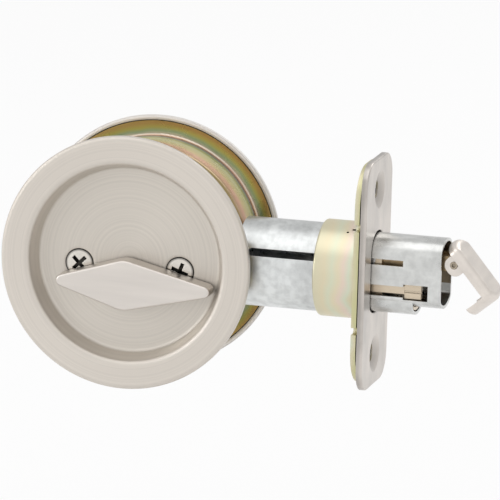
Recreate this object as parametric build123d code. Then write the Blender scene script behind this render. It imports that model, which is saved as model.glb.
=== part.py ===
from build123d import *
import math
import os

# Pocket door lock for a bed or bath room: a round finger cup on each face of the door, and in
# the door's edge a latch whose bolt carries a folding hook. A thumb turn throws and draws it.
# Frame: +X to the door's edge, +Y to the back face, +Z up, in millimetres. The origin is the
# centre of the cross bore, halfway through the door and on the latch's axis.
# The bolt is thrown and the hook is out.

# Door
PANEL_T = 28.0            # door panel between the two flanges
BACKSET = 60.3            # cross bore centre to the outer face of the face plate

# Trim cups
FLANGE_R = 31.75
RIM_T = 1.8               # flange edge, outer face to door
RIM_LIP = 1.1             # width of the turned-back edge of the flange
RIM_ROUND = 0.7
CUP_SHEET = 1.0
MOUTH_R = 24.9
MOUTH_ROUND = 1.3
CUP_DRAFT = 1.7           # how far the recess narrows from mouth to floor
FLOOR_ROUND = 0.8
RECESS_DEPTH = 5.0

# Drawn housings in the cross bore
HOUSING_SHEET = 0.9
CUP_GAP = 0.15            # trim cup's wall to the inside of the drum
LIP_CLEARANCE = 0.25      # housing flange to the trim cup's turned-back edge
DRUM_ROUND = 1.4
DRUM_ROOT_ROUND = 0.5

# Mounting screws and posts
SCREW_X = 12.9
SCREW_Z = -1.9
SCREW_R = 1.95
SCREW_HEAD_R = 3.45
SCREW_HEAD_DOME = 0.3
SCREW_TIP_GAP = 0.3       # screw's tip to the bottom of the post's hole
SCREW_SEAT_GAP = 0.3
SCREW_HOLE_GAP = 0.3
LEFT_RECESS_TURN = 45     # degrees the cross recess of each screw is turned
RIGHT_RECESS_TURN = 70
RECESS_ARM = 4.4          # cross recess, tip to tip
RECESS_ARM_W = 0.95
RECESS_CUT = 1.5
DIMPLE_WALL = 1.1
POST_R = 2.9
POST_TIP_GAP = 0.3        # post's tip to the crank arm's face
POST_RIVET_R = 2.0
POST_RIVET_GAP = 0.02
POST_HEAD_R = 2.8
POST_HEAD_T = 0.7
THREAD_GAP = 0.05

# Thumb turn, release button and spindle
TURN_Z = -5.5             # spindle axis below the cup's centre
TURN_TIP_GAP = 0.6        # long arm's tip to the edge of the cup's floor
TURN_FOOT_GAP = 0.27      # short arm's tip to that edge, with the bolt drawn
TURN_CROWN_R = 6.28       # half height at the spindle
TURN_TIP_ROUND = 1.5
TURN_EDGE_ROUND = 0.6
TURN_BACK_ROUND = 0.3
TURN_LIFT = 0.7           # back of the turn above the cup's floor, clear of the screws
TURN_T = 4.9
TURN_BOSS_R = 5.2
BUTTON_R = 5.5
BUTTON_T = 1.5
BUTTON_ROUND = 0.5
COIN_SLOT_W = 1.4
COIN_SLOT_CUT = 0.8
HUB_GAP = 0.15            # boss or button to the cup's floor
SHANK_R = 4.0
SHANK_GAP = 0.06          # running clearance in the cup's floor
SHANK_TAIL = 0.9          # shank past its clip
SPINDLE_W = 4.0
SPINDLE_GAP = 0.05
SPINDLE_END_GAP = 0.2
SPINDLE_SKIN = 0.9        # metal between the socket's end and the face
WASHER_IN_GAP = 0.3
WASHER_R = 6.6
WASHER_T = 0.4
WASHER_DISH = 0.35
CLIP_T = 0.6
CLIP_R = 6.3
CLIP_GAP = 0.05
GROOVE_DEPTH = 0.6

# Crank and yoke
CRANK_T = 1.6
CRANK_HUB_R = 4.0
CRANK_EYE_R = 2.3
CRANK_PIN_R = 1.5
CRANK_TURN = 90.0         # degrees of turn from thrown to drawn
PLATE_GAP = 0.4           # faces of crank, tail and drums
YOKE_GAP = 0.6            # pin to yoke slot, takes up the pin's arc
YOKE_WALL = 2.1
TAIL_T = 1.6
TAIL_Z0 = 2.8
TAIL_H = 4.8

# Latch case
TUBE_R = 11.0
TUBE_WALL = 0.8
TUBE_GAP = 0.3            # tube's inner end to the drums
GUIDE_DISC_T = 1.5
GUIDE_DISC_GAP = 0.05
TAIL_SLOT_GAP = 0.35
SLOT_ANGLE = 24.0         # guide slot above the front side of the tube, degrees
SLOT_W = 2.0
COLLAR_WALL = 0.95
COLLAR_LENGTH = 10.3
COLLAR_GAP = 0.05
COLLAR_ROUND = 0.5
PIERCE_R = 0.3            # small hole near the collar's rim
PIERCE_IN = 3.1           # that hole to the backing plate
PIERCE_ANGLE = 61.0       # degrees above the front side
RIM_NOTCH_L = 2.2         # notch in the collar's rim beside the hole
RIM_NOTCH_W = 0.7
RIM_NOTCH_ANGLE = 66.5
BACKING_T = 1.3
BACKING_H = 54.6
BACKING_ROUND = 9.5
NOTCH_Z = 12.9
NOTCH_W = 1.8
NOTCH_DEPTH = 2.6
FACE_T = 1.5
FACE_W = 25.4
FACE_H = 57.15
FACE_ROUND = 6.35
FACE_EDGE_ROUND = 0.35
FACE_GAP = 0.4            # face plate to backing plate
FACE_LIP = 0.7            # wall of the face plate's drawn lip
FACE_MOUTH_ROUND = 0.5
BOLT_GAP = 0.35           # bolt to face plate
HOLE_SPACING = 41.3
HOLE_R = 2.3
BACKING_HOLE_R = 2.7
SINK_R = 4.75
SINK_DEPTH = 1.1

# Bolt shell
BOLT_RUN_GAP = 0.4        # bolt to the inside of the tube
BOLT_FLAT_CUT = 3.9       # each flat in from the round of the bolt
BOLT_BEND = 4.2           # wide bends between the flats and the top
BELLY_BEND = 2.2          # and tighter ones at the belly
BOLT_SHEET = 0.8
BOLT_PROUD = 17.5         # bolt's end beyond the face plate
BOLT_TAIL = 10.0          # bolt's inner end behind the face plate's outer face
BELLY_CUT = 7.0           # the deep belly stops this far from the bolt's end
BELLY_RISE = 2.1          # and the belly is raised by this much from there on
BELLY_STEP = 0.4          # the deep belly's sides inside the bolt's flats
SIDE_SLOT_Z = 3.75
SIDE_SLOT_W = 1.5
SIDE_SLOT_CUT = 9.6       # slot's end to the bolt's end
WINDOW_Z = -3.35
WINDOW_STEM_W = 2.7
WINDOW_STEM_CUT = 9.4     # end of the narrow part to the bolt's end
WINDOW_HEAD_W = 3.9
WINDOW_HEAD_CUT = 3.2     # end of the wide part to the bolt's end
GUIDE_PIN_R = 0.5
GUIDE_PIN_IN = 1.4        # guide pin to the bolt's inner end
GUIDE_PIN_GAP = 0.4       # pin's tip to the tube's outside, and its slot's ends to the pin

# Hook and what carries it
HOOK_OPEN = 40.0          # degrees from upright
HOOK_PIN_OUT = 2.9        # pin axis beyond the bolt's end
HOOK_PIN_Z = 4.2
HOOK_PIN_R = 0.9
HOOK_PIN_GAP = 0.05
HOOK_RIM = 1.1            # pin axis to the inner edge of the hook's rim
HOOK_RIM_H = 0.9          # height of that rim on the hook's plate
HOOK_T = 1.7              # plate of the hook
HOOK_IN = 0.9             # hook's round inside the bolt's round
HOOK_FLAT_IN = 0.3        # hook's flats inside the bolt's flats
HOOK_BEND = 1.8           # rounded corners of the hook's outline
HOOK_RIM_W = 1.5          # width of the rim round the hook's hollow
HOOK_ROUND = 1.6
HOOK_SEAT_GAP = 0.3       # closed hook to the bolt's end
LIP_LENGTH = 7.7
LIP_GAP = 0.3             # closed lip to the raised belly
LUG_BACK = 2.3            # pin axis to the back of a lug
LUG_UP = 2.3
LUG_DOWN = 2.8
LUG_ROUND = 2.2
LUG_GAP = 0.3             # lugs to the carrier's arms
LUG_T = 1.2
ARM_T = 1.2
ARM_EYE_R = 1.7
ARM_Z0 = 1.6
ARM_H = 4.8
CARRIER_L = 24.7          # carrier's tail to the hook's pin
CARRIER_FLOOR_CUT = 8.7   # end of the carrier's floor to the hook's pin
PIN_PROUD = 0.1
PIN_HOLLOW_R = 0.5
PIN_HOLLOW_CUT = 0.4
BAR_GAP = 0.3             # bar's head to the bolt's flat
BAR_T = 1.4
BAR_W = 2.1
BAR_HEAD_SHOULDER = 0.1   # head's shoulder past the window's narrow part
BAR_HEAD_CUT = 1.9        # head's end to the window's end
BAR_HEAD_W = 3.5
BAR_HEAD_RAISE = 0.2
BAR_GROOVE_W = 0.6
BAR_GROOVE_CUT = 0.35
BAR_TAB_IN = 1.0          # bar's tab to the carrier's tail
BAR_TAB_L = 5.5
BAR_TAB_TOP = 5.2
LINER_GAP = 0.3           # bar's curved liner to the bolt's belly
LINER_T = 0.8
LINER_CUT = 0.15          # end of the liner to the end of the deep belly
RIVET_R = 0.8
RIVET_HEAD_R = 1.2
RIVET_HEAD_T = 0.25
RIVET_Z = 4.0
TAIL_LAP = 9.0            # tail plate inside the carrier
SPRING_WIRE_R = 0.2
SPRING_GAP = 0.2
SPRING_END_GAP = 0.25     # ends of the coil to the carrier's arms
SPRING_PITCH = 0.75
SPRING_LEG = 2.8
SPRING_TURN = 90.0        # degrees, points the legs away from the hook's plate

# Worked out from the sizes above
FLANGE_BACK = PANEL_T / 2
RIM_Y = FLANGE_BACK + RIM_T
FLOOR_Y = RIM_Y - RECESS_DEPTH
UNDER_Y = FLOOR_Y - CUP_SHEET
SEAT_Y = FLANGE_BACK + HOUSING_SHEET
FLOOR_R = MOUTH_R - CUP_DRAFT
CUP_SLOPE = CUP_DRAFT / RECESS_DEPTH
CUP_SKIN = CUP_SHEET * math.hypot(1, CUP_SLOPE)
CUP_WALL_R = MOUTH_R - CUP_SLOPE * (RIM_Y - SEAT_Y) + CUP_SKIN
DRUM_R = CUP_WALL_R + CUP_GAP + HOUSING_SHEET
TURN_LONG = math.sqrt(FLOOR_R ** 2 - TURN_Z ** 2) - TURN_TIP_GAP
TURN_SHORT = FLOOR_R + TURN_Z - TURN_FOOT_GAP
CLIP_Y = UNDER_Y - WASHER_T - WASHER_DISH - CLIP_GAP
SHANK_END = CLIP_Y - CLIP_T - SHANK_TAIL
CRANK_Y = -TAIL_T / 2 - PLATE_GAP - CRANK_T
FRONT_DRUM_END = CRANK_Y - PLATE_GAP
BACK_DRUM_END = TAIL_T / 2 + 2 * PLATE_GAP
POST_TIP_Y = CRANK_Y + CRANK_T + POST_TIP_GAP
SCREW_TIP_Y = BACK_DRUM_END - SCREW_TIP_GAP
CASE_FACE = BACKSET - FACE_T
BACKING_X = CASE_FACE - FACE_GAP - BACKING_T
TUBE_START = DRUM_R + TUBE_GAP
TUBE_BORE = TUBE_R - TUBE_WALL
COLLAR_R = TUBE_R + COLLAR_GAP + COLLAR_WALL
BACKING_W = 2 * COLLAR_R
BOLT_R = TUBE_BORE - BOLT_RUN_GAP
BOLT_FLAT = BOLT_R - BOLT_FLAT_CUT
BOLT_END = BACKSET + BOLT_PROUD
BOLT_TAIL_X = BACKSET - BOLT_TAIL
BELLY_CUT_X = BOLT_END - BELLY_CUT
BOLT_INNER_FLAT = BOLT_FLAT - BOLT_SHEET
GUIDE_PIN_X = BOLT_TAIL_X + GUIDE_PIN_IN
HOOK_PIN_X = BOLT_END + HOOK_PIN_OUT
HOOK_R = BOLT_R - HOOK_IN
HOOK_FLAT = BOLT_FLAT - HOOK_FLAT_IN
BOLT_THROW = BOLT_PROUD + HOOK_SEAT_GAP + HOOK_RIM_H + HOOK_T
CARRIER_TRAVEL = HOOK_PIN_X + HOOK_RIM - HOOK_SEAT_GAP - BOLT_END
TAIL_TRAVEL = BOLT_THROW + CARRIER_TRAVEL
CRANK_THROW = TAIL_TRAVEL / 2 / math.sin(math.radians(CRANK_TURN / 2))
CRANK_PIN_X = TAIL_TRAVEL / 2
CRANK_PIN_Z = TURN_Z + CRANK_THROW * math.cos(math.radians(CRANK_TURN / 2))
ARM_OUT = BOLT_INNER_FLAT - BAR_GAP - BAR_HEAD_RAISE - BAR_T
ARM_IN = ARM_OUT - ARM_T
LUG_IN = ARM_OUT + LUG_GAP
CARRIER_TAIL_X = HOOK_PIN_X - CARRIER_L
BAR_TAB_X = CARRIER_TAIL_X + BAR_TAB_IN
RIVET_X = BAR_TAB_X + BAR_TAB_L / 2
SPRING_TURNS = math.floor((2 * ARM_IN - 2 * SPRING_END_GAP - 2 * SPRING_WIRE_R) / SPRING_PITCH) - 0.5


# Plain forms

def rod_x(radius, x0, x1, y=0.0, z=0.0):
    turned = Rot(0, 90, 0) * Cylinder(radius, x1 - x0, align=(Align.CENTER, Align.CENTER, Align.MIN))
    return Pos(x0, y, z) * turned


def rod_y(radius, y0, y1, x=0.0, z=0.0):
    turned = Rot(-90, 0, 0) * Cylinder(radius, y1 - y0, align=(Align.CENTER, Align.CENTER, Align.MIN))
    return Pos(x, y0, z) * turned


def block(x0, x1, y0, y1, z0, z1):
    sized = Box(x1 - x0, y1 - y0, z1 - z0, align=(Align.MIN, Align.MIN, Align.MIN))
    return Pos(x0, y0, z0) * sized


def plate_y(outline, y0, y1):
    """A sketch in X and Z, thickened from y0 to y1."""
    return Pos(0, y1, 0) * extrude(Plane.XZ * outline, amount=y1 - y0)


def plate_x(outline, x0, x1):
    """A sketch in Y and Z, thickened from x0 to x1."""
    return Pos(x0, 0, 0) * extrude(Plane.YZ * outline, amount=x1 - x0)


def turned_y(points, radii, z=0.0):
    """A closed profile of radius and Y, turned about the Y axis at height z."""
    outline = FilletPolyline(*points, radius=radii, close=True)
    return Pos(0, 0, z) * revolve(make_face(outline.edges()), axis=Axis.Y)


def to_front(solid):
    return mirror(solid, about=Plane.XZ)


def double_d(radius, flat, top_bend, low_bend):
    """A circle cut by two flats, in Y and Z, with its upper and lower corners rounded."""
    outline = Circle(radius) & Rectangle(2 * flat, 4 * radius)
    outline = fillet(outline.vertices().group_by(Axis.Y)[-1], top_bend)
    return fillet(outline.vertices().group_by(Axis.Y)[0], low_bend)


# Cups and housings

def trim_cup():
    """Flange with a turned-back edge and a dished recess, on the back face of the door."""
    wall_low = MOUTH_R - CUP_SLOPE * (RIM_Y - UNDER_Y) + CUP_SKIN
    lip_r = FLANGE_R - RIM_LIP
    points = [
        (0, UNDER_Y), (wall_low, UNDER_Y), (CUP_WALL_R, SEAT_Y), (lip_r, SEAT_Y),
        (lip_r, FLANGE_BACK), (FLANGE_R, FLANGE_BACK), (FLANGE_R, RIM_Y), (MOUTH_R, RIM_Y),
        (FLOOR_R, FLOOR_Y), (0, FLOOR_Y),
    ]
    radii = [0, FLOOR_ROUND + CUP_SHEET, 0, 0, 0, 0, RIM_ROUND, MOUTH_ROUND, FLOOR_ROUND, 0]
    cup = turned_y(points, radii)
    return cup - rod_y(SHANK_R + SHANK_GAP, UNDER_Y - 1, FLOOR_Y + 1, z=TURN_Z)


def front_cup():
    """The trim cup on the front face, with dimpled seats for the two screws."""
    cup = to_front(trim_cup())
    seat_r = SCREW_HEAD_R + SCREW_SEAT_GAP
    hole_r = SCREW_R + SCREW_HOLE_GAP
    sink = seat_r - hole_r
    for x in (-SCREW_X, SCREW_X):
        cup += rod_y(seat_r + DIMPLE_WALL, -UNDER_Y - CUP_SHEET / 2, -FLOOR_Y + sink + DIMPLE_WALL,
                     x, SCREW_Z)
        seat = Cone(seat_r, hole_r, sink, align=(Align.CENTER, Align.CENTER, Align.MIN))
        cup -= Pos(x, -FLOOR_Y, SCREW_Z) * Rot(-90, 0, 0) * seat
        cup -= rod_y(hole_r, -FLOOR_Y, 0, x, SCREW_Z)
    return cup


def housing(end_y):
    """Drawn drum with a flange that lies behind the trim cup's flange."""
    inner = DRUM_R - HOUSING_SHEET
    inner_y = end_y + HOUSING_SHEET
    flange_r = FLANGE_R - RIM_LIP - LIP_CLEARANCE
    points = [
        (0, end_y), (DRUM_R, end_y), (DRUM_R, FLANGE_BACK), (flange_r, FLANGE_BACK),
        (flange_r, SEAT_Y), (inner, SEAT_Y), (inner, inner_y), (0, inner_y),
    ]
    radii = [0, DRUM_ROUND, DRUM_ROOT_ROUND, 0, 0, 0, DRUM_ROUND - HOUSING_SHEET / 2, 0]
    drum = turned_y(points, radii)
    return drum - rod_y(SPINDLE_W, end_y - 1, inner_y + 1, z=TURN_Z)


def front_housing():
    drum = to_front(housing(-FRONT_DRUM_END))
    for x in (-SCREW_X, SCREW_X):
        drum -= rod_y(SCREW_R + SCREW_HOLE_GAP, FRONT_DRUM_END - 2, FRONT_DRUM_END + 1, x, SCREW_Z)
    return drum


def back_housing():
    drum = housing(BACK_DRUM_END)
    for x in (-SCREW_X, SCREW_X):
        drum -= rod_y(POST_RIVET_R + POST_RIVET_GAP, BACK_DRUM_END - 1, BACK_DRUM_END + 2, x, SCREW_Z)
    return drum


def mounting_post(x):
    """Threaded post riveted to the back drum's closed end."""
    rivet_y = BACK_DRUM_END + HOUSING_SHEET
    post = rod_y(POST_R, POST_TIP_Y, BACK_DRUM_END, x, SCREW_Z)
    post += rod_y(POST_RIVET_R, BACK_DRUM_END, rivet_y, x, SCREW_Z)
    post += rod_y(POST_HEAD_R, rivet_y, rivet_y + POST_HEAD_T, x, SCREW_Z)
    return post - rod_y(SCREW_R + THREAD_GAP, POST_TIP_Y, SCREW_TIP_Y + THREAD_GAP, x, SCREW_Z)


def mounting_screw(x, recess_turn):
    """Oval-head machine screw with a cross recess, sunk in the cup's floor."""
    sink = SCREW_HEAD_R - SCREW_R
    dome_r = (SCREW_HEAD_R ** 2 + SCREW_HEAD_DOME ** 2) / (2 * SCREW_HEAD_DOME)
    dome = Pos(0, 0, SCREW_HEAD_DOME - dome_r) * Sphere(dome_r)
    head = dome & Cylinder(SCREW_HEAD_R, SCREW_HEAD_DOME, align=(Align.CENTER, Align.CENTER, Align.MIN))
    cone = Cone(SCREW_R, SCREW_HEAD_R, sink, align=(Align.CENTER, Align.CENTER, Align.MAX))
    length = FLOOR_Y + SCREW_TIP_Y
    shank = Cylinder(SCREW_R, length, align=(Align.CENTER, Align.CENTER, Align.MAX))
    screw = head + cone + shank
    for turn in (0, 90):
        arm = Box(RECESS_ARM, RECESS_ARM_W, 2 * RECESS_CUT)
        screw -= Pos(0, 0, SCREW_HEAD_DOME) * Rot(0, 0, turn + recess_turn) * arm
    return Pos(x, -FLOOR_Y, SCREW_Z) * Rot(90, 0, 0) * screw


# Turn, release and crank

def shank():
    """Shank through a cup's floor, with its clip groove and a square socket for the spindle."""
    stem = rod_y(SHANK_R, SHANK_END, FLOOR_Y + HUB_GAP, z=TURN_Z)
    ring = rod_y(SHANK_R + 1, CLIP_Y - CLIP_T - CLIP_GAP, CLIP_Y + CLIP_GAP, z=TURN_Z)
    ring -= rod_y(SHANK_R - GROOVE_DEPTH, CLIP_Y - CLIP_T - 1, CLIP_Y + 1, z=TURN_Z)
    return stem - ring


def socket(end_y):
    half = SPINDLE_W / 2 + SPINDLE_GAP
    return block(-half, half, SHANK_END - 1, end_y, TURN_Z - half, TURN_Z + half)


def thumb_turn():
    """Lozenge knob with one arm longer than the other, on a boss and shank."""
    short_tip = Pos(TURN_TIP_ROUND - TURN_SHORT, 0) * Circle(TURN_TIP_ROUND)
    long_tip = Pos(TURN_LONG - TURN_TIP_ROUND, 0) * Circle(TURN_TIP_ROUND)
    outline = make_hull(short_tip.edges() + Circle(TURN_CROWN_R).edges() + long_tip.edges())
    back = FLOOR_Y + TURN_LIFT
    front = back + TURN_T
    grip = plate_y(outline, back, front)
    grip = fillet(grip.faces().sort_by(Axis.Y)[-1].edges(), TURN_EDGE_ROUND)
    grip = fillet(grip.faces().sort_by(Axis.Y)[0].edges(), TURN_BACK_ROUND)
    boss = rod_y(TURN_BOSS_R, FLOOR_Y + HUB_GAP, back + TURN_T / 2, z=TURN_Z)
    turn = Pos(0, 0, TURN_Z) * grip + boss + shank()
    return to_front(turn - socket(front - SPINDLE_SKIN - SPINDLE_END_GAP))


def release_button():
    """Slotted button that turns the spindle from outside with a coin."""
    face = FLOOR_Y + HUB_GAP + BUTTON_T
    button = rod_y(BUTTON_R, FLOOR_Y + HUB_GAP, face, z=TURN_Z)
    button = fillet(button.edges().sort_by(Axis.Y)[-1], BUTTON_ROUND)
    button += shank()
    button -= block(-BUTTON_R, BUTTON_R, face - COIN_SLOT_CUT, face + 1,
                    TURN_Z - COIN_SLOT_W / 2, TURN_Z + COIN_SLOT_W / 2)
    return button - socket(FLOOR_Y)


def spindle():
    half = SPINDLE_W / 2
    front = FLOOR_Y + TURN_LIFT + TURN_T - SPINDLE_SKIN - 2 * SPINDLE_END_GAP
    return block(-half, half, -front, FLOOR_Y - SPINDLE_END_GAP, TURN_Z - half, TURN_Z + half)


def spring_washer():
    """Dished washer between a cup's floor and the clip."""
    bore = SHANK_R + WASHER_IN_GAP
    low = UNDER_Y - WASHER_T - WASHER_DISH
    points = [(bore, low), (WASHER_R, UNDER_Y - WASHER_T), (WASHER_R, UNDER_Y), (bore, low + WASHER_T)]
    return turned_y(points, [0, 0, 0, 0], z=TURN_Z)


def shank_clip():
    """E-clip: three prongs in the shank's groove, open at the bottom."""
    bore = SHANK_R - GROOVE_DEPTH + CLIP_GAP
    outline = Circle(CLIP_R) - Circle(bore)
    for angle in (25, 155):
        pocket = Pos(SHANK_R, 0) * Circle((CLIP_R - bore) * 0.4)
        outline -= Rot(0, 0, angle) * pocket
    outline -= Pos(0, -CLIP_R) * Rectangle(2 * bore * 0.8, 2 * CLIP_R)
    return Pos(0, 0, TURN_Z) * plate_y(outline, CLIP_Y - CLIP_T, CLIP_Y)


def crank_arm():
    """Arm on the square spindle, at 45 degrees with the bolt thrown."""
    hub = Pos(0, TURN_Z) * Circle(CRANK_HUB_R)
    eye = Pos(CRANK_PIN_X, CRANK_PIN_Z) * Circle(CRANK_EYE_R)
    outline = make_hull(hub.edges() + eye.edges())
    hole = SPINDLE_W + 2 * SPINDLE_GAP
    outline -= Pos(0, TURN_Z) * Rectangle(hole, hole)
    outline -= Pos(CRANK_PIN_X, CRANK_PIN_Z) * Circle(CRANK_PIN_R)
    return plate_y(outline, CRANK_Y, CRANK_Y + CRANK_T)


def crank_pin():
    return rod_y(CRANK_PIN_R, CRANK_Y, TAIL_T / 2 + PLATE_GAP, CRANK_PIN_X, CRANK_PIN_Z)


def tail_plate():
    """Flat tail from the carrier to the yoke slot that the crank pin works."""
    slot_w = 2 * (CRANK_PIN_R + YOKE_GAP)
    slot_z0 = CRANK_PIN_Z - CRANK_PIN_R - YOKE_GAP
    slot_z1 = TURN_Z + CRANK_THROW + CRANK_PIN_R + YOKE_GAP
    half = slot_w / 2 + YOKE_WALL
    x0 = CRANK_PIN_X - half
    yoke_h = slot_z1 - slot_z0 + 2 * YOKE_WALL
    middle = (slot_z0 + slot_z1) / 2
    outline = Pos(CRANK_PIN_X, middle) * RectangleRounded(2 * half, yoke_h, YOKE_WALL)
    bar_l = CARRIER_TAIL_X + TAIL_LAP - CRANK_PIN_X
    bar = Pos(CRANK_PIN_X + bar_l / 2, TAIL_Z0 + TAIL_H / 2) * Rectangle(bar_l, TAIL_H)
    slot = Pos(CRANK_PIN_X, middle) * Rot(0, 0, 90) * SlotOverall(slot_z1 - slot_z0, slot_w)
    outline = outline + bar - slot
    outline -= Pos(RIVET_X, RIVET_Z) * Circle(RIVET_R)
    return plate_y(outline, -TAIL_T / 2, TAIL_T / 2)


# Latch case

def wall_plane(x, radius, degrees):
    """Plane on a tube's wall, facing outwards, at an angle above the tube's front side."""
    angle = math.radians(degrees)
    out = (0, -math.cos(angle), math.sin(angle))
    return Plane(origin=(x, radius * out[1], radius * out[2]), x_dir=(1, 0, 0), z_dir=out)


def latch_tube():
    """Tube with the slot that the bolt's guide pin runs in."""
    tube = rod_x(TUBE_R, TUBE_START, BACKING_X) - rod_x(TUBE_BORE, TUBE_START - 1, BACKING_X + 1)
    travel = BOLT_THROW + SLOT_W + 2 * GUIDE_PIN_GAP
    middle = GUIDE_PIN_X - BOLT_THROW / 2
    slot = wall_plane(middle, TUBE_R, SLOT_ANGLE) * SlotOverall(travel, SLOT_W)
    return tube - extrude(slot, amount=2 * TUBE_WALL, both=True)


def tube_end_guide():
    disc = rod_x(TUBE_BORE - GUIDE_DISC_GAP, TUBE_START, TUBE_START + GUIDE_DISC_T)
    half = TAIL_T / 2 + TAIL_SLOT_GAP
    return disc - block(TUBE_START - 1, TUBE_START + GUIDE_DISC_T + 1, -half, half,
                        TAIL_Z0 - TAIL_SLOT_GAP, TAIL_Z0 + TAIL_H + TAIL_SLOT_GAP)


def collar():
    """Collar round the tube, with a small pierced hole and a notch in its rim."""
    ring = rod_x(COLLAR_R, BACKING_X - COLLAR_LENGTH, BACKING_X)
    ring = fillet(ring.edges().sort_by(Axis.X)[0], COLLAR_ROUND)
    ring -= rod_x(TUBE_R + COLLAR_GAP, BACKING_X - COLLAR_LENGTH - 1, BACKING_X + 1)
    hole = wall_plane(BACKING_X - PIERCE_IN, COLLAR_R, PIERCE_ANGLE) * Circle(PIERCE_R)
    notch = wall_plane(BACKING_X, COLLAR_R, RIM_NOTCH_ANGLE) * Rectangle(2 * RIM_NOTCH_L, RIM_NOTCH_W)
    for cut in (hole, notch):
        ring -= extrude(cut, amount=2 * COLLAR_WALL, both=True)
    return ring


def bolt_opening(margin, step=0.0):
    """The bolt's outline, larger by a margin all round, with its sides stepped in."""
    return double_d(BOLT_R + margin, BOLT_FLAT + margin - step, BOLT_BEND + margin, BELLY_BEND + margin)


def backing_plate():
    """Plate behind the face plate: two round ears, notched where they meet the collar."""
    outline = RectangleRounded(BACKING_W, BACKING_H, BACKING_ROUND)
    for y in (-BACKING_W / 2, BACKING_W / 2):
        for z in (-NOTCH_Z, NOTCH_Z):
            outline -= Pos(y, z) * SlotOverall(2 * NOTCH_DEPTH, NOTCH_W)
    outline -= bolt_opening(BOLT_GAP + FACE_LIP + COLLAR_GAP)
    for z in (-HOLE_SPACING / 2, HOLE_SPACING / 2):
        outline -= Pos(0, z) * Circle(BACKING_HOLE_R)
    return plate_x(outline, BACKING_X, BACKING_X + BACKING_T)


def faceplate():
    """Round-cornered plate with a drawn lip round the bolt and two countersunk holes."""
    plate = plate_x(RectangleRounded(FACE_W, FACE_H, FACE_ROUND), CASE_FACE, BACKSET)
    plate = fillet(plate.faces().sort_by(Axis.X)[-1].edges(), FACE_EDGE_ROUND)
    plate += plate_x(bolt_opening(BOLT_GAP + FACE_LIP), CASE_FACE - BACKING_T, CASE_FACE)
    plate -= plate_x(bolt_opening(BOLT_GAP), CASE_FACE - BACKING_T - 1, BACKSET + 1)
    mouth = plate.faces().sort_by(Axis.X)[-1].inner_wires()[0]
    plate = fillet(mouth.edges(), FACE_MOUTH_ROUND)
    for z in (-HOLE_SPACING / 2, HOLE_SPACING / 2):
        sink = Cone(HOLE_R, SINK_R, SINK_DEPTH, align=(Align.CENTER, Align.CENTER, Align.MAX))
        plate -= Pos(BACKSET, 0, z) * Rot(0, 90, 0) * sink
        plate -= rod_x(HOLE_R, CASE_FACE - 1, BACKSET + 1, z=z)
    return plate


# Bolt

def bolt_shell():
    """Folded shell: slots and a T-shaped window in front, its belly raised at the end."""
    raised = Pos(0, BELLY_RISE)
    outer = bolt_opening(0) & raised * bolt_opening(0)
    inner = bolt_opening(-BOLT_SHEET) & raised * bolt_opening(-BOLT_SHEET)
    deep_outer = outer + bolt_opening(0, BELLY_STEP)
    deep_inner = inner + bolt_opening(-BOLT_SHEET, BELLY_STEP)
    shell = plate_x(deep_outer - deep_inner, BOLT_TAIL_X, BELLY_CUT_X)
    shell += plate_x(outer - inner, BELLY_CUT_X, BOLT_END)
    front = -BOLT_FLAT - 1
    inside = -BOLT_INNER_FLAT + BOLT_SHEET / 2
    stem_end = BOLT_END - WINDOW_STEM_CUT
    cuts = (
        (BOLT_TAIL_X - 1, BOLT_END - SIDE_SLOT_CUT, SIDE_SLOT_Z, SIDE_SLOT_W),
        (BOLT_TAIL_X - 1, stem_end, WINDOW_Z, WINDOW_STEM_W),
        (stem_end, BOLT_END - WINDOW_HEAD_CUT, WINDOW_Z, WINDOW_HEAD_W),
    )
    for x0, x1, z, width in cuts:
        shell -= block(x0, x1, front, inside, z - width / 2, z + width / 2)
    return shell - guide_pin_rod(BOLT_SHEET)


def guide_pin_rod(depth):
    """Round rod from inside the bolt's flat towards the tube's slot."""
    start = BOLT_INNER_FLAT / math.cos(math.radians(SLOT_ANGLE)) - depth
    end = TUBE_R - GUIDE_PIN_GAP
    return extrude(wall_plane(GUIDE_PIN_X, start, SLOT_ANGLE) * Circle(GUIDE_PIN_R), amount=end - start)


def guide_pin():
    return guide_pin_rod(0)


def carrier():
    """Folded channel in the bolt: two arms with the hook's pin, joined by a floor."""
    arm_mid = ARM_Z0 + ARM_H / 2
    neck = Pos(CARRIER_TAIL_X + CARRIER_L / 4, arm_mid) * Rectangle(CARRIER_L / 2, ARM_H)
    eye = Pos(HOOK_PIN_X, HOOK_PIN_Z) * Circle(ARM_EYE_R)
    outline = make_hull(neck.edges() + eye.edges())
    outline -= Pos(HOOK_PIN_X, HOOK_PIN_Z) * Circle(HOOK_PIN_R)
    outline -= Pos(RIVET_X, RIVET_Z) * Circle(RIVET_R)
    channel = plate_y(outline, -ARM_OUT, -ARM_IN) + plate_y(outline, ARM_IN, ARM_OUT)
    floor_end = HOOK_PIN_X - CARRIER_FLOOR_CUT
    return channel + block(CARRIER_TAIL_X, floor_end, -ARM_OUT, ARM_OUT, ARM_Z0, TAIL_Z0)


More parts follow.
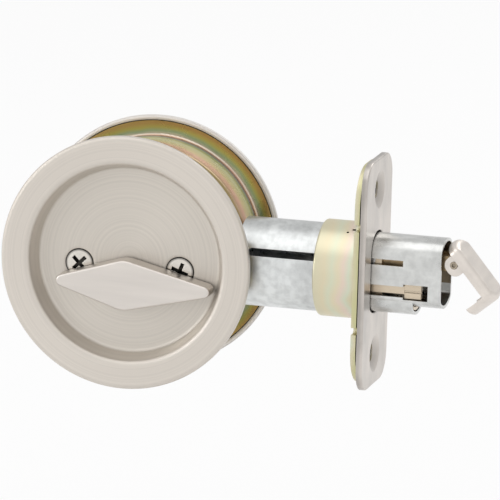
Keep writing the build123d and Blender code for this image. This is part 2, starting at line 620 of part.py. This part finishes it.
def drive_bar():
    """Bar with a hammer head seen through the window, and a curved liner in the bolt's belly."""
    y0 = -ARM_OUT - BAR_T
    tab_end = BAR_TAB_X + BAR_TAB_L
    low = WINDOW_Z + WINDOW_STEM_W / 2 - BAR_W
    head_start = BOLT_END - WINDOW_STEM_CUT + BAR_HEAD_SHOULDER
    head_end = BOLT_END - WINDOW_HEAD_CUT - BAR_HEAD_CUT
    head_y = y0 - BAR_HEAD_RAISE
    bar = block(BAR_TAB_X, head_end, y0, -ARM_OUT, low, low + BAR_W)
    bar += block(BAR_TAB_X, tab_end, y0, -ARM_OUT, low, BAR_TAB_TOP)
    bar += block(head_start, head_end, head_y, -ARM_OUT,
                 WINDOW_Z - BAR_HEAD_W / 2, WINDOW_Z + BAR_HEAD_W / 2)
    bar -= block(head_start, head_end + 1, head_y - 1, head_y + BAR_GROOVE_CUT,
                 WINDOW_Z - BAR_GROOVE_W / 2, WINDOW_Z + BAR_GROOVE_W / 2)
    liner_r = BOLT_R - BOLT_SHEET - LINER_GAP
    half = ARM_OUT + BAR_T / 4
    band = (Circle(liner_r) - Circle(liner_r - LINER_T)) & Pos(0, -liner_r) * Rectangle(2 * half, liner_r)
    bar += plate_x(band, BAR_TAB_X, BELLY_CUT_X - LINER_CUT)
    liner_z = -math.sqrt(liner_r ** 2 - half ** 2)
    bar += block(BAR_TAB_X, tab_end, -half, -half + LINER_T, liner_z, low + BAR_W)
    return bar - rod_y(RIVET_R, y0 - 1, 0, RIVET_X, RIVET_Z)


def tail_rivet():
    """Rivet through the bar's tab, both arms and the tail."""
    front = -ARM_OUT - BAR_T
    rivet = rod_y(RIVET_R, front, ARM_OUT, RIVET_X, RIVET_Z)
    rivet += rod_y(RIVET_HEAD_R, front - RIVET_HEAD_T, front, RIVET_X, RIVET_Z)
    return rivet + rod_y(RIVET_HEAD_R, ARM_OUT, ARM_OUT + RIVET_HEAD_T, RIVET_X, RIVET_Z)


# Hook

def hook_upright():
    """The hook closed, with its pin on the Y axis: rimmed end plate, curved lip and two lugs."""
    inner = HOOK_RIM + HOOK_RIM_H
    outer = inner + HOOK_T
    centre = Pos(0, -HOOK_PIN_Z)
    face = centre * double_d(HOOK_R, HOOK_FLAT, HOOK_BEND, HOOK_BEND)
    belly = centre * Pos(0, BELLY_RISE - LIP_GAP) * Circle(BOLT_R)
    hollow_bend = HOOK_BEND - HOOK_RIM_W
    pocket = centre * double_d(HOOK_R - HOOK_RIM_W, HOOK_FLAT - HOOK_RIM_W, hollow_bend, hollow_bend)
    body = plate_x(face, HOOK_RIM, outer) + plate_x(face - belly, outer - LIP_LENGTH, outer)
    body = fillet(body.faces().sort_by(Axis.X)[-1].edges(), HOOK_ROUND)
    body -= plate_x(pocket, HOOK_RIM - 1, inner)
    back = LUG_ROUND - LUG_BACK
    upper = Pos(back, LUG_UP - LUG_ROUND) * Circle(LUG_ROUND)
    lower = Pos(back, LUG_ROUND - LUG_DOWN) * Circle(LUG_ROUND)
    root = Pos(inner, (LUG_UP - LUG_DOWN) / 2) * Rectangle(HOOK_T, LUG_UP + LUG_DOWN)
    lug = make_hull(upper.edges() + lower.edges() + root.edges())
    lug -= Circle(HOOK_PIN_R + HOOK_PIN_GAP)
    body += plate_y(lug, -LUG_IN - LUG_T, -LUG_IN)
    return body + plate_y(lug, LUG_IN, LUG_IN + LUG_T)


def opened(solid):
    """Turns an upright hook out about its pin, to where the thrown bolt holds it."""
    return Pos(HOOK_PIN_X, 0, HOOK_PIN_Z) * Rot(0, -HOOK_OPEN, 0) * solid


def hook_pin():
    """Pin through the arms and lugs, hollow at its ends."""
    end = LUG_IN + LUG_T + PIN_PROUD
    pin = rod_y(HOOK_PIN_R, -end, end, HOOK_PIN_X, HOOK_PIN_Z)
    for y in (-end - PIN_HOLLOW_CUT, end - PIN_HOLLOW_CUT):
        pin -= rod_y(PIN_HOLLOW_R, y, y + 2 * PIN_HOLLOW_CUT, HOOK_PIN_X, HOOK_PIN_Z)
    return pin


def hook_spring():
    """Torsion spring round the pin, between the arms, with both legs on the bolt's side."""
    radius = HOOK_PIN_R + SPRING_GAP + SPRING_WIRE_R
    height = SPRING_TURNS * SPRING_PITCH
    path = Helix(SPRING_PITCH, height, radius)
    coil = sweep(Plane(path @ 0, z_dir=path % 0) * Circle(SPRING_WIRE_R), path=path, is_frenet=True)
    for end in (0, 1):
        out = path % end if end else -(path % end)
        leg = Plane(path @ end, z_dir=out) * Circle(SPRING_WIRE_R)
        coil += extrude(leg, amount=SPRING_LEG)
    return Rot(0, SPRING_TURN, 0) * Pos(0, height / 2, 0) * Rot(90, 0, 0) * coil


PARTS = {
    "front_cup": front_cup(),
    "back_cup": trim_cup(),
    "front_housing": front_housing(),
    "back_housing": back_housing(),
    "mounting_posts": Compound(children=[mounting_post(-SCREW_X), mounting_post(SCREW_X)]),
    "mounting_screws": Compound(children=[mounting_screw(-SCREW_X, LEFT_RECESS_TURN),
                                          mounting_screw(SCREW_X, RIGHT_RECESS_TURN)]),
    "thumb_turn": thumb_turn(),
    "turn_washer": to_front(spring_washer()),
    "turn_clip": to_front(shank_clip()),
    "release_button": release_button(),
    "release_washer": spring_washer(),
    "release_clip": shank_clip(),
    "spindle": spindle(),
    "crank_arm": crank_arm(),
    "crank_pin": crank_pin(),
    "tail_plate": tail_plate(),
    "latch_tube": latch_tube(),
    "tube_end_guide": tube_end_guide(),
    "collar": collar(),
    "backing_plate": backing_plate(),
    "faceplate": faceplate(),
    "bolt_shell": bolt_shell(),
    "guide_pin": guide_pin(),
    "carrier": carrier(),
    "drive_bar": drive_bar(),
    "tail_rivet": tail_rivet(),
    "hook": opened(hook_upright()),
    "hook_pin": hook_pin(),
    "hook_spring": opened(hook_spring()),
}

os.makedirs("parts", exist_ok=True)
for name, solid in PARTS.items():
    export_step(solid, f"parts/{name}.step")
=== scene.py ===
import math
from collections import namedtuple

import bmesh
import bpy
from mathutils import Matrix, Vector


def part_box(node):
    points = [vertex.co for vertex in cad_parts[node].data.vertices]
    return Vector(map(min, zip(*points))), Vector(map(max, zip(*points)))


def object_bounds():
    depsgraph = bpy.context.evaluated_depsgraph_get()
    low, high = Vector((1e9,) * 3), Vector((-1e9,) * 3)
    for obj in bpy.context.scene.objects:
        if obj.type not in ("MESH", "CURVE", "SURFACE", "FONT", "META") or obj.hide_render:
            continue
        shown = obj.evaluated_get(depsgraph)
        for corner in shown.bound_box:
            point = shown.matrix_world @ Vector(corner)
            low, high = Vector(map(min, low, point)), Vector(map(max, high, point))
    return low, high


# Pocket door lock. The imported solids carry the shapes, and this script gives each of them its
# metal. Sizes are in millimetres, angles in degrees, lamp powers in watts and noise in waves per
# metre, and tones are shares of white. +X runs to the door's edge, +Y to its back face, +Z up.

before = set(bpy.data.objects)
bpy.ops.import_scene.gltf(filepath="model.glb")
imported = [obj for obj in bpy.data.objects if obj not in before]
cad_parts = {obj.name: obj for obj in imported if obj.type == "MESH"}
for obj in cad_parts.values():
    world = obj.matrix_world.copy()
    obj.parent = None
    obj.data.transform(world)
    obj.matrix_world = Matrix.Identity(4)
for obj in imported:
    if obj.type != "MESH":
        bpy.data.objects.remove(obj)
cad_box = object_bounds()

MM = 0.001

# Camera: where it stands round the lock, and what it looks at
CAMERA_AZIMUTH = 14.9
CAMERA_ELEVATION = 12.4
CAMERA_ROLL = 1.7
CAMERA_DISTANCE = 1600.0
CAMERA_TARGET = (27.77, 0.0, 2.6)
CAMERA_NEAR = 50.0
CAMERA_FAR = 50000.0
SENSOR = 36.0
IMAGE_PIXELS = 500
FOCAL_PIXELS = 6470.0

# Studio
FLOOR_DROP = 60.0         # floor below the lock
FLOOR_HALF = 3000.0
FLOOR_TONE = 0.93
FLOOR_ROUGHNESS = 0.9
FLOOR_WHITE = 0.70        # share of plain white in how the floor looks
FLOOR_MIRRORED = 0.6      # how much of that white metal sees
ROOM_MIRRORED = 0.35      # how much of the white background metal sees
ROOM_TONES = ((0.0, 0.62), (0.45, 0.70), (0.75, 0.95), (1.0, 1.0))    # from behind the lock to its front
KEY_PLACE = (-260.0, -260.0, 1050.0)
KEY_SIZE = 900.0
KEY_POWER = 2.0
SIDE_PLACE = (-950.0, -700.0, 260.0)
SIDE_SIZE = 500.0
SIDE_POWER = 2.5
BACK_PLACE = (350.0, 900.0, 800.0)
BACK_SIZE = 700.0
BACK_POWER = 2.0

# Edges, and shade painted into creases and seams
RAYS = 6                  # rays that look for edges and creases at each point
SHEET_EDGE = 0.12         # edges of sheet metal, rounded in the shading
CUP_EDGE = 1.4            # and the softly drawn edges of the cups
CREASE_SHADE_REACH = 1.0              # reach of the painted shade in recesses and seams
CREASE_SHADE_SPAN = (0.15, 0.65)    # how open the darkest and the first clear point are
CREASE_SHADE_TONE = 0.10

# Spans of a factor over which a colour runs from its first tone to its last
WHOLE = (0.0, 1.0)
FINE = (0.3, 0.7)         # brush lines and grain
CLOUDED = (0.35, 0.65)    # clouds and patches
SPOTTED = (0.35, 0.6)     # small dark spots
NOISE_MIDDLE = 0.5        # what noise strays from

# Cups and drums
RIM_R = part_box("front_cup")[1].x / MM
MOUTH_R = 24.9
FLOOR_R = 23.2
RING_WAVES = 1.7          # brush lines on the cups, per millimetre
RING_CONTRAST = 0.09
RING_STRETCH = 0.5        # how far the brush lines draw a highlight out
WALL_R = 26.7             # wall of the drums
WALL_TOP = 14.0           # flange of the drums from mid panel

# Screws
SCREW_DOME = 0.3          # heads over the cup's floor
HEAD_SHADE_WIDTH = 0.55          # width of the painted shade round the heads
HEAD_SHADE_TONE = 0.12
RECESS_SHADE_DEPTH = 0.15               # depth at which a recess in floor or screw is painted black as shade
RECESS_SHADE_TONE = 0.06

# Face plate: edges and countersinks are painted darker as shade, from one depth below its face to the
# other
PLATE_SHADE_START = 0.1
PLATE_SHADE_DEPTH = 1.0
PLATE_SHADE_TONE = 0.72

# Bolt
SHELL_SKIN = 0.7          # less than its wall, to tell its inner faces
SHELL_BELLY = -2.5        # below this height its inside is left plain
SHELL_INSIDE_TONE = (0.34, 0.27, 0.19)

# Tints of yellow zinc in the order that they lie on the metal
# On the drums, the pale cream stops at 0.40 and 0.57 are a painted highlight on the wall; the other
# stops are the zinc's own tints.
DRUM_TINTS_AND_HIGHLIGHT = [
    (0.12, (0.34, 0.26, 0.12)), (0.22, (0.78, 0.52, 0.40)), (0.30, (0.96, 0.64, 0.56)),
    (0.40, (0.99, 0.86, 0.64)), (0.57, (0.99, 0.95, 0.74)), (0.63, (0.64, 0.60, 0.28)),
    (0.67, (0.46, 0.52, 0.36)), (0.72, (0.22, 0.24, 0.26)), (0.77, (0.52, 0.31, 0.21)),
    (0.81, (0.68, 0.58, 0.48)), (0.86, (0.29, 0.38, 0.24)), (0.91, (0.40, 0.38, 0.11)),
    (0.97, (0.42, 0.29, 0.10)),
]
COLLAR_TINTS = [
    (0.0, (0.66, 0.62, 0.45)), (0.2, (0.70, 0.63, 0.45)), (0.38, (0.66, 0.67, 0.51)),
    (0.54, (0.72, 0.65, 0.47)), (0.68, (0.74, 0.62, 0.52)), (0.82, (0.64, 0.67, 0.53)),
    (0.90, (0.66, 0.61, 0.43)), (1.0, (0.58, 0.56, 0.32)),
]


# Shader helpers

Kit = namedtuple("Kit", "material nodes links shader")


def surface(name, metallic=1.0):
    """A new material, with its shader ready for colour, gloss and relief."""
    material = bpy.data.materials.new(name)
    material.use_nodes = True
    nodes = material.node_tree.nodes
    shader = nodes["Principled BSDF"]
    shader.inputs["Metallic"].default_value = metallic
    return Kit(material, nodes, material.node_tree.links, shader)


def calc(kit, operation, a, b=0.0):
    """The result of a sum on two numbers or sockets."""
    node = kit.nodes.new("ShaderNodeMath")
    node.operation = operation
    for socket, value in zip(node.inputs, (a, b)):
        if isinstance(value, (int, float)):
            socket.default_value = value
        else:
            kit.links.new(value, socket)
    return node.outputs[0]


def in_mm(kit, metres):
    return calc(kit, "DIVIDE", metres, MM)


def object_point(kit):
    return kit.nodes.new("ShaderNodeTexCoord").outputs["Object"]


def parts_of(kit, vector):
    split = kit.nodes.new("ShaderNodeSeparateXYZ")
    kit.links.new(vector, split.inputs[0])
    return split.outputs


def radius_from(kit, a, b):
    """Distance from an axis, in millimetres, from two coordinates in metres."""
    squares = calc(kit, "ADD", calc(kit, "MULTIPLY", a, a), calc(kit, "MULTIPLY", b, b))
    return in_mm(kit, calc(kit, "SQRT", squares))


def grey(value):
    return (value, value, value)


def shade(colour, factor):
    return tuple(c * factor for c in colour)


def ramp(kit, factor, stops):
    """A colour ramp from (place, colour) stops."""
    node = kit.nodes.new("ShaderNodeValToRGB")
    while len(node.color_ramp.elements) < len(stops):
        node.color_ramp.elements.new(0.5)
    for element, (place, colour) in zip(node.color_ramp.elements, stops):
        element.position = place
        element.color = (*colour, 1)
    kit.links.new(factor, node.inputs["Fac"])
    return node.outputs["Color"]


def between(kit, factor, first, last, span=WHOLE):
    """A ramp from one colour to another over a span of the factor."""
    return ramp(kit, factor, [(span[0], first), (span[1], last)])


def noise(kit, waves, detail=3.0, stretch=(1, 1, 1)):
    """Noise in the part's own frame."""
    mapping = kit.nodes.new("ShaderNodeMapping")
    mapping.inputs["Scale"].default_value = stretch
    kit.links.new(object_point(kit), mapping.inputs["Vector"])
    texture = kit.nodes.new("ShaderNodeTexNoise")
    texture.inputs["Scale"].default_value = waves
    texture.inputs["Detail"].default_value = detail
    kit.links.new(mapping.outputs["Vector"], texture.inputs["Vector"])
    return texture.outputs["Fac"]


def rings(kit, radius, waves, detail=4.0):
    """Noise that changes with a radius alone, as lathe lines do."""
    texture = kit.nodes.new("ShaderNodeTexNoise")
    texture.noise_dimensions = "1D"
    texture.inputs["Scale"].default_value = waves
    texture.inputs["Detail"].default_value = detail
    kit.links.new(radius, texture.inputs["W"])
    return texture.outputs["Fac"]


def times(kit, colour, other):
    """Two colours multiplied."""
    node = kit.nodes.new("ShaderNodeVectorMath")
    node.operation = "MULTIPLY"
    kit.links.new(colour, node.inputs[0])
    kit.links.new(other, node.inputs[1])
    return node.outputs[0]


def shaded_in_recess(kit, colour, depth):
    """A colour painted black below a face as shade in a recess, with the depth below it in millimetres.
    """
    return times(kit, colour, between(kit, calc(kit, "DIVIDE", depth, RECESS_SHADE_DEPTH), grey(1.0), grey(RECESS_SHADE_TONE)))


def paint(kit, colour):
    """Base colour, with painted shade where other metal stands close, as in recesses and seams."""
    openness = kit.nodes.new("ShaderNodeAmbientOcclusion")
    openness.samples = RAYS
    openness.inputs["Distance"].default_value = CREASE_SHADE_REACH * MM
    dark = between(kit, openness.outputs["AO"], grey(CREASE_SHADE_TONE), grey(1.0), CREASE_SHADE_SPAN)
    kit.links.new(times(kit, colour, dark), kit.shader.inputs["Base Color"])


def gloss(kit, factor, roughness, spread=0.05):
    """Roughness that strays a little with a factor."""
    rough = between(kit, factor, grey(roughness - spread), grey(roughness + spread), FINE)
    kit.links.new(rough, kit.shader.inputs["Roughness"])


def relief(kit, height, strength, depth=0.04, edge=SHEET_EDGE):
    """Fine relief in the surface, over edges that are rounded in the shading."""
    bevel = kit.nodes.new("ShaderNodeBevel")
    bevel.samples = RAYS
    bevel.inputs["Radius"].default_value = edge * MM
    bump = kit.nodes.new("ShaderNodeBump")
    bump.inputs["Strength"].default_value = strength
    bump.inputs["Distance"].default_value = depth * MM
    kit.links.new(height, bump.inputs["Height"])
    kit.links.new(bevel.outputs["Normal"], bump.inputs["Normal"])
    kit.links.new(bump.outputs["Normal"], kit.shader.inputs["Normal"])


# Metals. A film of lacquer or plating leaves a metal less bare.

def ring_brushed(name, colour, floor_colour, roughness, bare):
    """Satin nickel brushed in circles about the cups' axis, with a darker floor and seats painted black
    as shade.
    """
    kit = surface(name, bare)
    x, y, z = parts_of(kit, object_point(kit))
    radius = radius_from(kit, x, z)
    lines = rings(kit, radius, RING_WAVES)
    # The floor is darker than the rim, partly a duller finish and partly painted shade of the recess.
    stops = [
        (0.0, floor_colour), (FLOOR_R / RIM_R, floor_colour),
        (MOUTH_R / RIM_R, colour), (1.0, colour),
    ]
    base = ramp(kit, calc(kit, "DIVIDE", radius, RIM_R), stops)
    base = times(kit, base, between(kit, lines, grey(1 - RING_CONTRAST), grey(1.0), FINE))
    # Seats and holes below the cup's floor are painted black as shade.
    floor_y = -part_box("mounting_screws")[0].y / MM - SCREW_DOME
    below_floor = calc(kit, "SUBTRACT", floor_y, in_mm(kit, calc(kit, "ABSOLUTE", y)))
    inside = calc(kit, "LESS_THAN", radius, FLOOR_R)
    paint(kit, shaded_in_recess(kit, base, calc(kit, "MULTIPLY", below_floor, inside)))
    gloss(kit, lines, roughness)
    relief(kit, lines, strength=0.10, edge=CUP_EDGE)
    around = kit.nodes.new("ShaderNodeTangent")
    around.direction_type = "RADIAL"
    around.axis = "Y"
    kit.links.new(around.outputs["Tangent"], kit.shader.inputs["Tangent"])
    kit.shader.inputs["Anisotropic"].default_value = RING_STRETCH
    return kit.material


def brushed(name, colour, roughness, stretch=(1, 1, 1), spread=0.05):
    """Satin metal brushed one way, or with an even fine grain."""
    kit = surface(name)
    grain = noise(kit, waves=400.0, detail=4.0, stretch=stretch)
    paint(kit, between(kit, grain, shade(colour, 1 - spread), shade(colour, 1 + spread), FINE))
    gloss(kit, grain, roughness)
    relief(kit, grain, strength=0.08, depth=0.05)
    return kit.material


def screw_metal(name, colour, roughness, spread=0.07):
    """Bright nickel with its cross recess painted black as shade, and painted shade round the edge of
    each of the two heads.
    """
    kit = surface(name)
    grain = noise(kit, waves=900.0)
    base = between(kit, grain, shade(colour, 1 - spread), colour, FINE)
    low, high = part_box("mounting_screws")
    head_r = (high.z - low.z) / 2
    x, y, z = parts_of(kit, object_point(kit))
    across = calc(kit, "SUBTRACT", calc(kit, "ABSOLUTE", x), high.x - head_r)
    along = calc(kit, "SUBTRACT", z, (low.z + high.z) / 2)
    from_edge = calc(kit, "SUBTRACT", head_r / MM, radius_from(kit, across, along))
    out_of_head_shade = calc(kit, "DIVIDE", from_edge, HEAD_SHADE_WIDTH)
    # Painted shade in a ring round the edge of each head, at its seat.
    base = times(kit, base, between(kit, out_of_head_shade, grey(HEAD_SHADE_TONE), grey(1.0)))
    # The cross recess is painted black as shade.
    rim_y = low.y / MM + SCREW_DOME
    paint(kit, shaded_in_recess(kit, base, calc(kit, "SUBTRACT", in_mm(kit, y), rim_y)))
    gloss(kit, grain, roughness)
    relief(kit, grain, strength=0.06)
    return kit.material


def mottled(name, colour, roughness, face, dark=0.80, light=1.09):
    """Satin nickel with soft darker patches from handling, and painted shade behind a node's outer face.
    """
    kit = surface(name)
    patches = noise(kit, waves=150.0, detail=6.0, stretch=(1, 1, 0.5))
    base = between(kit, patches, shade(colour, dark), shade(colour, light), CLOUDED)
    x = parts_of(kit, object_point(kit))[0]
    # Painted shade on the sides and in the countersinks, below the outer face.
    depth = in_mm(kit, calc(kit, "SUBTRACT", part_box(face)[1].x, x))
    span = (PLATE_SHADE_START / PLATE_SHADE_DEPTH, 1.0)
    plate_shade = between(kit, calc(kit, "DIVIDE", depth, PLATE_SHADE_DEPTH), grey(1.0), grey(PLATE_SHADE_TONE), span)
    paint(kit, times(kit, base, plate_shade))
    gloss(kit, patches, roughness)
    relief(kit, noise(kit, waves=900.0, detail=2.0, stretch=(1, 1, 0.1)), strength=0.08)
    return kit.material


def shell_inside(kit, node):
    """1 on the inner faces of a double-D shell above its belly, and 0 elsewhere."""
    side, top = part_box(node)[1].yz
    _, y, z = parts_of(kit, object_point(kit))
    within_sides = calc(kit, "LESS_THAN", calc(kit, "ABSOLUTE", y), side - SHELL_SKIN * MM)
    within_top = calc(kit, "LESS_THAN", radius_from(kit, y, z), top / MM - SHELL_SKIN)
    above_belly = calc(kit, "GREATER_THAN", z, SHELL_BELLY * MM)
    return calc(kit, "MULTIPLY", calc(kit, "MULTIPLY", within_sides, within_top), above_belly)


def zinc(name, colour, roughness, spread, stretch=(1, 1, 1), shell=None):
    """Bright zinc plate, clouded and streaked by the plating bath. A shell is darkened brown on its
    inner faces.
    """
    kit = surface(name)
    clouds = noise(kit, waves=170.0, detail=5.0, stretch=stretch)
    base = between(kit, clouds, shade(colour, 1 - spread), shade(colour, 1 + spread), CLOUDED)
    spots = noise(kit, waves=520.0, detail=4.0)
    base = times(kit, base, between(kit, spots, grey(1 - spread), grey(1.0), SPOTTED))
    # The shell's inner faces above its belly are darkened brown.
    if shell:
        base = times(kit, base, between(kit, shell_inside(kit, shell), grey(1.0), SHELL_INSIDE_TONE))
    paint(kit, base)
    gloss(kit, clouds, roughness, spread=0.06)
    relief(kit, noise(kit, waves=1500.0, stretch=stretch), strength=0.06)
    return kit.material


def chromate(name, place, tints, roughness, bare, stray):
    """Yellow zinc plate: tints that drift with a place on the piece, and stray with clouds."""
    kit = surface(name, bare)
    clouds = noise(kit, waves=75.0)
    sway = calc(kit, "MULTIPLY", calc(kit, "SUBTRACT", clouds, NOISE_MIDDLE), stray)
    paint(kit, ramp(kit, calc(kit, "ADD", place(kit), sway), tints))
    gloss(kit, clouds, roughness)
    relief(kit, noise(kit, waves=1200.0), strength=0.05)
    return kit.material


def drum_place(kit):
    """0 at mid panel, rising up a drum's wall and then out over its flange to 1."""
    x, y, z = parts_of(kit, object_point(kit))
    up = in_mm(kit, calc(kit, "ABSOLUTE", y))
    out = calc(kit, "MAXIMUM", calc(kit, "SUBTRACT", radius_from(kit, x, z), WALL_R), 0.0)
    flange_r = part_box("back_housing")[1].x / MM
    return calc(kit, "DIVIDE", calc(kit, "ADD", up, out), WALL_TOP + flange_r - WALL_R)


def collar_place(kit):
    """0 at the collar's free rim, 1 at the outer face of the backing plate."""
    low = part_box("collar")[0].x
    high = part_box("backing_plate")[1].x
    x = parts_of(kit, object_point(kit))[0]
    return calc(kit, "DIVIDE", calc(kit, "SUBTRACT", x, low), high - low)


def dress(material, *node_names):
    """Give nodes their metal."""
    for node_name in node_names:
        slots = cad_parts[node_name].data.materials
        slots.clear()
        slots.append(material)


# Satin nickel
dress(ring_brushed("cup_nickel", (0.67, 0.62, 0.56), (0.63, 0.585, 0.525), roughness=0.37, bare=0.65),
      "front_cup")
# The back cup has the front cup's nickel, painted lighter and made less bare to make up for the dimmer
# room behind the lock.
dress(ring_brushed("back_nickel_painted_light", (0.80, 0.765, 0.725), (0.70, 0.66, 0.615), roughness=0.42, bare=0.5),
      "back_cup")
dress(brushed("turn_nickel", (0.70, 0.655, 0.61), roughness=0.36, stretch=(0.06, 1, 1)),
      "thumb_turn", "release_button")
dress(mottled("plate_nickel", (0.655, 0.61, 0.565), roughness=0.32, face="faceplate"),
      "faceplate")
dress(brushed("hook_nickel", (0.75, 0.695, 0.64), roughness=0.34, stretch=(1, 0.2, 1), spread=0.06),
      "hook")
dress(screw_metal("screw_nickel", (0.74, 0.70, 0.64), roughness=0.24),
      "mounting_screws")

# Bright zinc
dress(zinc("tube_zinc", (0.70, 0.715, 0.71), roughness=0.36, spread=0.16, stretch=(1, 0.3, 0.3)),
      "latch_tube")
dress(zinc("bolt_zinc", (0.67, 0.675, 0.66), roughness=0.30, spread=0.13, stretch=(0.4, 1, 1),
           shell="bolt_shell"),
      "bolt_shell", "guide_pin")
dress(zinc("steel_zinc", (0.66, 0.67, 0.68), roughness=0.30, spread=0.08),
      "mounting_posts", "spindle", "crank_arm", "crank_pin", "tail_plate", "tube_end_guide",
      "tail_rivet")

# Yellow zinc
# The drums' tints carry a painted highlight on their walls.
dress(chromate("drum_zinc", drum_place, DRUM_TINTS_AND_HIGHLIGHT, roughness=0.28, bare=0.75, stray=0.09),
      "front_housing", "back_housing")
dress(chromate("collar_zinc", collar_place, COLLAR_TINTS, roughness=0.38, bare=0.85, stray=0.55),
      "collar", "backing_plate")

# Copper and steel inside
dress(brushed("bar_copper", (0.66, 0.56, 0.43), roughness=0.30, stretch=(0.2, 1, 1), spread=0.08),
      "drive_bar")
# The carrier is yellow zinc, painted dark brown as the shade it lies in behind the bolt's slot.
dress(brushed("carrier_zinc_in_shade", (0.46, 0.34, 0.20), roughness=0.38, spread=0.15),
      "carrier")
dress(brushed("pin_steel", (0.42, 0.36, 0.28), roughness=0.30, spread=0.08),
      "hook_pin")
dress(brushed("spring_steel", (0.50, 0.36, 0.18), roughness=0.32, spread=0.10),
      "hook_spring", "turn_washer", "release_washer", "turn_clip", "release_clip")


# Studio

def seen_directly(kit, mirrored):
    """1 for what the camera or glass sees, and a share of that for what metal sees."""
    path = kit.nodes.new("ShaderNodeLightPath").outputs
    direct = calc(kit, "MAXIMUM", path["Is Camera Ray"], path["Is Transmission Ray"])
    return calc(kit, "MAXIMUM", direct, calc(kit, "MULTIPLY", path["Is Glossy Ray"], mirrored))


def mixed(kit, factor, shader, other):
    """Two shaders mixed, with a factor of 1 for the other alone."""
    node = kit.nodes.new("ShaderNodeMixShader")
    kit.links.new(factor, node.inputs["Fac"])
    kit.links.new(shader.outputs[0], node.inputs[1])
    kit.links.new(other.outputs[0], node.inputs[2])
    return node.outputs[0]


def floor():
    """Pale floor, brought to white for the eye but with its shadow kept."""
    mesh = bmesh.new()
    bmesh.ops.create_grid(mesh, x_segments=1, y_segments=1, size=FLOOR_HALF * MM)
    data = bpy.data.meshes.new("floor")
    mesh.to_mesh(data)
    mesh.free()
    plane = bpy.data.objects.new("floor", data)
    plane.location.z = cad_box[0].z - FLOOR_DROP * MM
    bpy.context.scene.collection.objects.link(plane)
    kit = surface("floor", metallic=0.0)
    kit.shader.inputs["Base Color"].default_value = (*grey(FLOOR_TONE), 1)
    kit.shader.inputs["Roughness"].default_value = FLOOR_ROUGHNESS
    white = kit.nodes.new("ShaderNodeEmission")
    share = calc(kit, "MULTIPLY", seen_directly(kit, FLOOR_MIRRORED), FLOOR_WHITE)
    kit.links.new(mixed(kit, share, kit.shader, white), kit.nodes["Material Output"].inputs["Surface"])
    data.materials.append(kit.material)


def room():
    """White to the eye, and a soft room that is brighter in front of the lock than behind it."""
    world = bpy.data.worlds.new("studio")
    bpy.context.scene.world = world
    world.use_nodes = True
    nodes = world.node_tree.nodes
    nodes.clear()
    kit = Kit(None, nodes, world.node_tree.links, None)
    y = parts_of(kit, nodes.new("ShaderNodeTexCoord").outputs["Generated"])[1]
    towards_front = calc(kit, "DIVIDE", calc(kit, "SUBTRACT", 1.0, y), 2.0)
    soft = nodes.new("ShaderNodeBackground")
    tones = ramp(kit, towards_front, [(place, grey(tone)) for place, tone in ROOM_TONES])
    kit.links.new(tones, soft.inputs["Color"])
    white = nodes.new("ShaderNodeBackground")
    white.inputs["Color"].default_value = (*grey(1.0), 1)
    output = nodes.new("ShaderNodeOutputWorld")
    kit.links.new(mixed(kit, seen_directly(kit, ROOM_MIRRORED), soft, white), output.inputs["Surface"])


def lamp(name, place, size, power):
    """Square soft box aimed at what the camera looks at."""
    light = bpy.data.lights.new(name, "AREA")
    light.size = size * MM
    light.energy = power
    made = bpy.data.objects.new(name, light)
    made.location = Vector(place) * MM
    made.rotation_euler = (Vector(place) - Vector(CAMERA_TARGET)).to_track_quat("Z", "Y").to_euler()
    bpy.context.scene.collection.objects.link(made)


def camera():
    """Camera at the photograph's viewing angle, rolled a little."""
    azimuth = math.radians(CAMERA_AZIMUTH)
    elevation = math.radians(CAMERA_ELEVATION)
    roll = math.radians(CAMERA_ROLL)
    level = Vector((math.sin(azimuth), -math.cos(azimuth), 0))
    back = level * math.cos(elevation) + Vector((0, 0, math.sin(elevation)))
    right = Vector((0, 0, 1)).cross(back).normalized()
    up = back.cross(right)
    side = right * math.cos(roll) + up * math.sin(roll)
    top = up * math.cos(roll) - right * math.sin(roll)
    data = bpy.data.cameras.new("camera")
    data.sensor_width = SENSOR
    data.lens = FOCAL_PIXELS * SENSOR / IMAGE_PIXELS
    data.clip_start = CAMERA_NEAR * MM
    data.clip_end = CAMERA_FAR * MM
    made = bpy.data.objects.new("camera", data)
    made.matrix_world = Matrix((side, top, back)).transposed().to_4x4()
    made.matrix_world.translation = (Vector(CAMERA_TARGET) + back * CAMERA_DISTANCE) * MM
    bpy.context.scene.collection.objects.link(made)
    bpy.context.scene.camera = made


floor()
room()
lamp("key", KEY_PLACE, KEY_SIZE, KEY_POWER)
lamp("side", SIDE_PLACE, SIDE_SIZE, SIDE_POWER)
lamp("back", BACK_PLACE, BACK_SIZE, BACK_POWER)
camera()
bpy.context.scene.view_settings.view_transform = "Standard"
